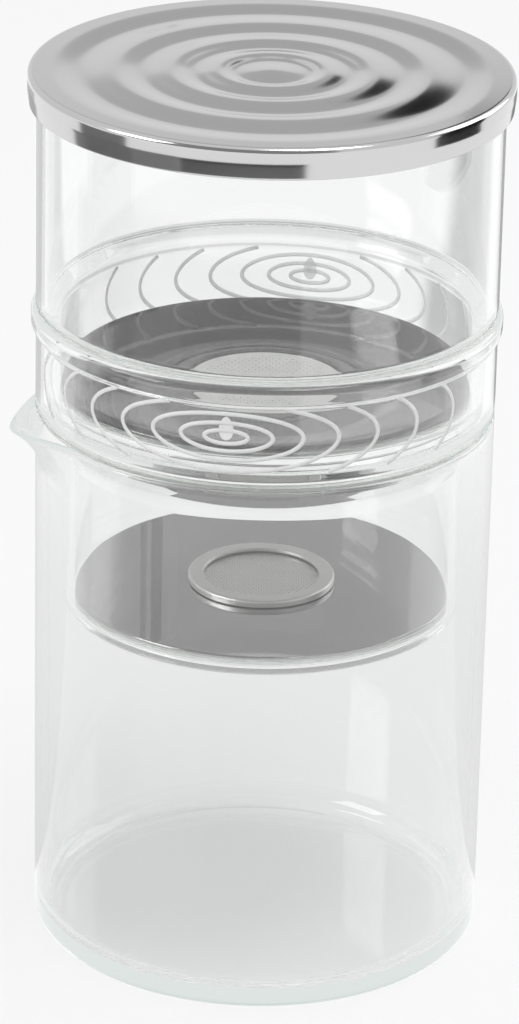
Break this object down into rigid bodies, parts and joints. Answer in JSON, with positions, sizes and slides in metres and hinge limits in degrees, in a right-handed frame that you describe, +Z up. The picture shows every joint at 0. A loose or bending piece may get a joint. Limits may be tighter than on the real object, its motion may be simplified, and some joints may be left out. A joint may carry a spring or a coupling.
{
  "type": "cold brew coffee maker",
  "caption": "Glass cold drip coffee maker: covered water tank with drip plate, coffee chamber with filter plate, and pouring jug, stacked.",
  "frame": {"origin": "middle of the jug's foot, on the surface it stands on", "axes": "+Z up along the common axis of jug, chamber, tank and lid; the spout points 15 degrees from -X towards -Y"},
  "size_m": [0.1069, 0.1038, 0.1993],
  "materials": {
    "glass": "clear borosilicate, fire-polished rims",
    "silicone": "clear, satin",
    "lid_steel": "mirror polished pressed steel",
    "dark_steel": "polished pressed steel",
    "satin_steel": "satin, finely perforated"
  },
  "bodies": {
    "jug": {"jug": "glass"},
    "chamber": {"coffee_chamber": "glass", "chamber_seal": "silicone"},
    "filter": {"filter_plate": "dark_steel", "filter_gasket": "silicone", "filter_mesh": "satin_steel", "filter_mesh_ring": "satin_steel"},
    "tank": {"water_tank": "glass", "tank_seal": "silicone"},
    "drip": {"drip_plate": "dark_steel", "drip_gasket": "silicone", "drip_disc": "satin_steel"},
    "lid": {"lid_cap": "lid_steel", "lid_seal": "silicone"}
  },
  "joints": [
    {"name": "chamber_lift", "type": "slide", "parent": "jug", "child": "chamber", "axis": [0, 0, 1], "range_m": [0, 0.06]},
    {"name": "filter_plate_lift", "type": "slide", "parent": "chamber", "child": "filter", "axis": [0, 0, 1], "range_m": [0, 0.04]},
    {"name": "tank_lift", "type": "slide", "parent": "chamber", "child": "tank", "axis": [0, 0, 1], "range_m": [0, 0.035]},
    {"name": "drip_plate_lift", "type": "slide", "parent": "tank", "child": "drip", "axis": [0, 0, 1], "range_m": [0, 0.06]},
    {"name": "lid_lift", "type": "slide", "parent": "tank", "child": "lid", "axis": [0, 0, 1], "range_m": [0, 0.04]}
  ]
}
